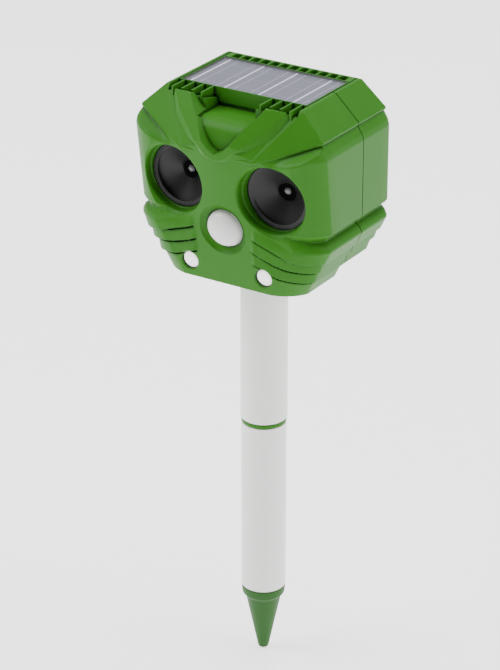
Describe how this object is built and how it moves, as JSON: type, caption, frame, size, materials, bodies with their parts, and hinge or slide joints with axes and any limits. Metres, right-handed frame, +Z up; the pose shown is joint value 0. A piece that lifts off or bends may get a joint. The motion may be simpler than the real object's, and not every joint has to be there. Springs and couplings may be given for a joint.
{
  "type": "ultrasonic pest repeller",
  "caption": "Green solar-topped ultrasonic repeller head with paired horns, a motion sensor and lamps, on a white jointed tube with a ground spike.",
  "frame": {"origin": "centre of the spike's blunt tip, on the axis of the pole", "axes": "+Z up along the pole, -Y towards the front face, +X to the right of someone facing the front"},
  "size_m": [0.1282, 0.0923, 0.3787],
  "materials": {
    "moulded_green": "satin moulded plastic",
    "spike_green": "moulded plastic",
    "horn_grey": "fine matt",
    "plug_grey": "satin",
    "tube_white": "white satin paint",
    "lens_pearl": "milky, glossy",
    "lamp_white": "white diffuser",
    "solar_cell": "dark cells with bright bus lines",
    "panel_window": "clear",
    "black_rubber": "matt",
    "sensor_steel": "plated",
    "board_green": "lacquered board",
    "black_plastic": "moulded",
    "cell_sleeve": "shrink sleeve",
    "screw_steel": "zinc plated"
  },
  "bodies": {
    "power_button": {"power_button": "black_rubber"},
    "frequency_knob": {"frequency_dial": "black_plastic"},
    "sensitivity_knob": {"sensitivity_dial": "black_plastic"},
    "port_flap": {"port_cover": "black_rubber"},
    "battery_lid": {"battery_door": "moulded_green", "door_screw_1": "screw_steel", "door_screw_2": "screw_steel"},
    "upper_pole": {"upper_tube": "tube_white"},
    "lower_pole": {"lower_tube": "tube_white"},
    "coupler": {"joint_ring": "moulded_green"},
    "spike": {"ground_spike": "spike_green"},
    "head": {"battery_cell_1": "cell_sleeve", "battery_cell_2": "cell_sleeve", "battery_cell_3": "cell_sleeve", "battery_contact_left": "sensor_steel", "battery_contact_right": "sensor_steel", "battery_tray": "black_plastic", "button_switch": "black_plastic", "capacitor": "black_plastic", "case_screw_1": "screw_steel", "case_screw_2": "screw_steel", "case_screw_3": "screw_steel", "case_screw_4": "screw_steel", "charge_socket": "sensor_steel", "control_chip": "black_plastic", "frequency_switch": "black_plastic", "front_shell": "moulded_green", "lamp_left": "lamp_white", "lamp_lens_left": "lamp_white", "lamp_lens_right": "lamp_white", "lamp_right": "lamp_white", "main_board": "board_green", "panel_frame": "moulded_green", "panel_window": "panel_window", "phase_plug_left": "plug_grey", "phase_plug_right": "plug_grey", "pir_board": "board_green", "pir_lens": "lens_pearl", "pir_sensor": "sensor_steel", "pole_socket": "moulded_green", "rear_shell": "moulded_green", "sensitivity_switch": "black_plastic", "solar_panel": "solar_cell", "speaker_driver_left": "black_plastic", "speaker_driver_right": "black_plastic", "speaker_gasket_left": "black_rubber", "speaker_gasket_right": "black_rubber", "speaker_horn_left": "horn_grey", "speaker_horn_right": "horn_grey", "transformer": "black_plastic"}
  },
  "joints": [
    {"name": "lower_tube_pull", "type": "slide", "parent": "spike", "child": "lower_pole", "axis": [0, 0, 1], "range_m": [0, 0.03]},
    {"name": "ring_pull", "type": "slide", "parent": "lower_pole", "child": "coupler", "axis": [0, 0, 1], "range_m": [0, 0.03]},
    {"name": "upper_tube_pull", "type": "slide", "parent": "coupler", "child": "upper_pole", "axis": [0, 0, 1], "range_m": [0, 0.03]},
    {"name": "head_lift", "type": "slide", "parent": "upper_pole", "child": "head", "axis": [0, 0, 1], "range_m": [0, 0.03]},
    {"name": "power_press", "type": "slide", "parent": "head", "child": "power_button", "axis": [0, -1, 0], "range_m": [0, 0.0012], "stiffness_N_per_m": 600},
    {"name": "frequency_turn", "type": "hinge", "parent": "head", "child": "frequency_knob", "pos_m": [-0.0225, 0.038, 0.3007], "axis": [0, 1, 0], "range_deg": [-135, 135]},
    {"name": "sensitivity_turn", "type": "hinge", "parent": "head", "child": "sensitivity_knob", "pos_m": [0.0225, 0.038, 0.3007], "axis": [0, 1, 0], "range_deg": [-135, 135]},
    {"name": "port_open", "type": "hinge", "parent": "head", "child": "port_flap", "pos_m": [0.043, 0.0371, 0.29645], "axis": [-1, 0, 0], "range_deg": [0, 90]},
    {"name": "door_lift", "type": "slide", "parent": "head", "child": "battery_lid", "axis": [0, 1, 0], "range_m": [0, 0.02]}
  ]
}
